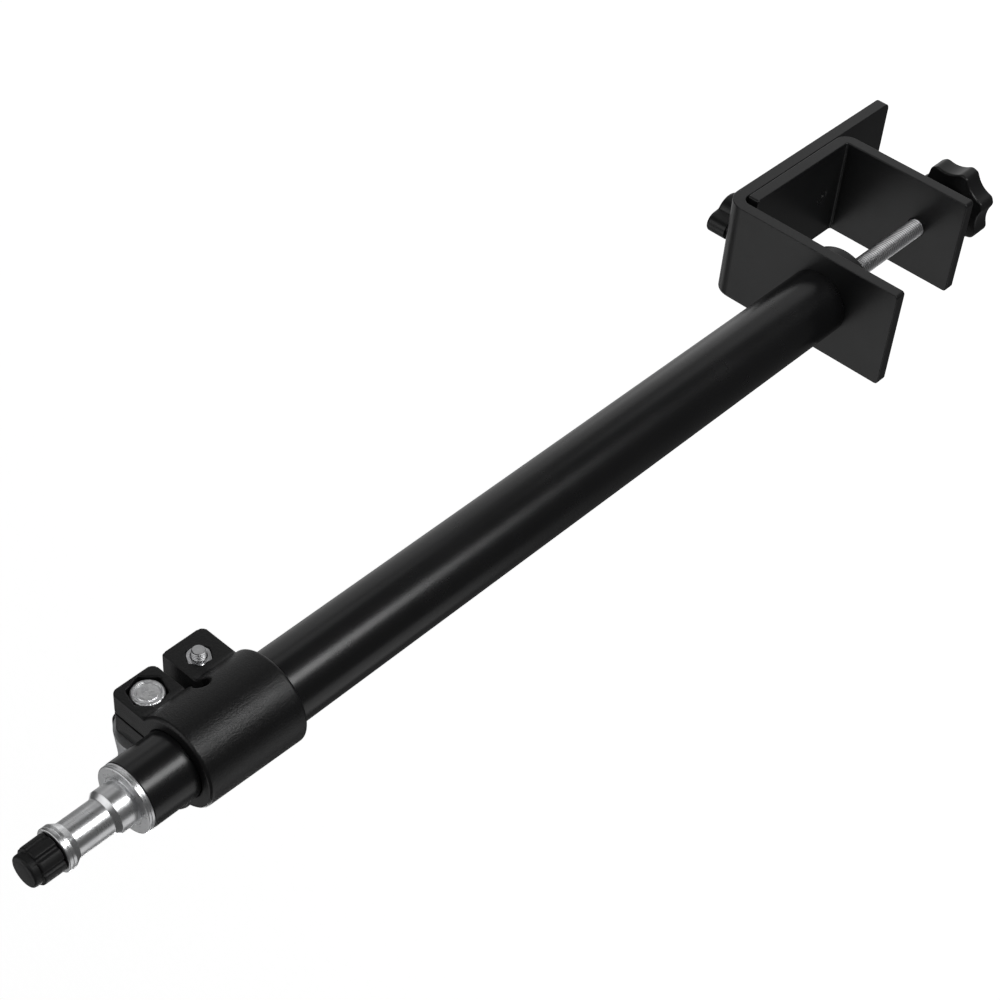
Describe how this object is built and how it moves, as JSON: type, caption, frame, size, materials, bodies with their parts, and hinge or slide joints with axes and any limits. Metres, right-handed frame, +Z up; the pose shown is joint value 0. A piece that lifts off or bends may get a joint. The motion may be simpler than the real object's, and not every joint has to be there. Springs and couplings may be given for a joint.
{
  "type": "table clamp stand",
  "caption": "Telescopic stand with a two-jaw table clamp, lock collar and 16 mm spigot with capped thread for a camera head or lamp.",
  "frame": {"origin": "on the tube's axis, at the underside of the upper jaw, where the table top bears", "axes": "+Z up the tube to the spigot, -Y out of the clamp's mouth, +X to the side of the lock bolt's round head"},
  "size_m": [0.0526, 0.0992, 0.5126],
  "materials": {
    "coated_steel": "black powder coat, low sheen",
    "coated_tube": "black paint, satin",
    "zinc_steel": "zinc plated",
    "bright_steel": "bright plated",
    "spigot_aluminium": "turned and polished",
    "insert_brass": "plain",
    "collar_plastic": "fine grain",
    "knob_plastic": "satin",
    "bush_plastic": "natural, smooth",
    "pad_rubber": "matt"
  },
  "bodies": {
    "stand": {"upper_bracket": "coated_steel", "outer_tube": "coated_tube", "tube_plug": "zinc_steel", "base_screw": "zinc_steel", "lock_collar": "collar_plastic", "collar_bolt": "zinc_steel", "collar_nut": "zinc_steel", "lock_bolt": "bright_steel"},
    "lower_jaw": {"lower_bracket": "coated_steel", "guide_pin": "coated_steel"},
    "pad": {"pressure_pad": "knob_plastic", "pad_facing": "pad_rubber"},
    "clamp_spindle": {"clamp_screw": "zinc_steel", "clamp_knob": "knob_plastic"},
    "back_washer": {"back_washer": "zinc_steel"},
    "back_lock": {"back_knob": "knob_plastic", "back_screw": "zinc_steel"},
    "lock_spacer": {"lock_spacer": "spigot_aluminium"},
    "lock_handle": {"lock_knob": "knob_plastic", "lock_nut": "insert_brass"},
    "slide_bush": {"guide_bush": "bush_plastic"},
    "mast": {"inner_tube": "coated_tube", "spigot": "spigot_aluminium", "thread_stud": "zinc_steel"},
    "cap": {"thread_cap": "knob_plastic"}
  },
  "joints": [
    {"name": "jaw_slide", "type": "slide", "parent": "stand", "child": "lower_jaw", "axis": [0, 0, -1], "range_m": [0, 0.033]},
    {"name": "pad_travel", "type": "slide", "parent": "lower_jaw", "child": "pad", "axis": [0, 0, 1], "range_m": [-0.048, 0.004]},
    {"name": "clamp_turn", "type": "hinge", "parent": "pad", "child": "clamp_spindle", "pos_m": [0, 0.001, -0.06], "axis": [0, 0, 1], "range_deg": [-13830, 1160]},
    {"name": "back_washer_slide", "type": "slide", "parent": "lower_jaw", "child": "back_washer", "axis": [0, 1, 0], "range_m": [0, 0.0015]},
    {"name": "back_knob_turn", "type": "hinge", "parent": "back_washer", "child": "back_lock", "pos_m": [0, 0.055, -0.0173], "axis": [0, 1, 0], "range_deg": [0, 435]},
    {"name": "lock_spacer_slide", "type": "slide", "parent": "stand", "child": "lock_spacer", "axis": [-1, 0, 0], "range_m": [0, 0.0015]},
    {"name": "lock_knob_turn", "type": "hinge", "parent": "lock_spacer", "child": "lock_handle", "pos_m": [-0.025, 0.0231, 0.3381], "axis": [-1, 0, 0], "range_deg": [0, 545]},
    {"name": "mast_slide", "type": "slide", "parent": "stand", "child": "slide_bush", "axis": [0, 0, 1], "range_m": [0, 0.28]},
    {"name": "mast_turn", "type": "hinge", "parent": "slide_bush", "child": "mast", "pos_m": [0, 0, 0.2], "axis": [0, 0, 1], "continuous": true},
    {"name": "cap_pull", "type": "slide", "parent": "mast", "child": "cap", "axis": [0, 0, 1], "range_m": [0, 0.015]}
  ],
  "couplings": [
    {"joint": "clamp_turn", "follows": "pad_travel", "rad_per_m": 5026.5},
    {"joint": "back_knob_turn", "follows": "back_washer_slide", "rad_per_m": 5026.5},
    {"joint": "lock_knob_turn", "follows": "lock_spacer_slide", "rad_per_m": 6283.2}
  ]
}
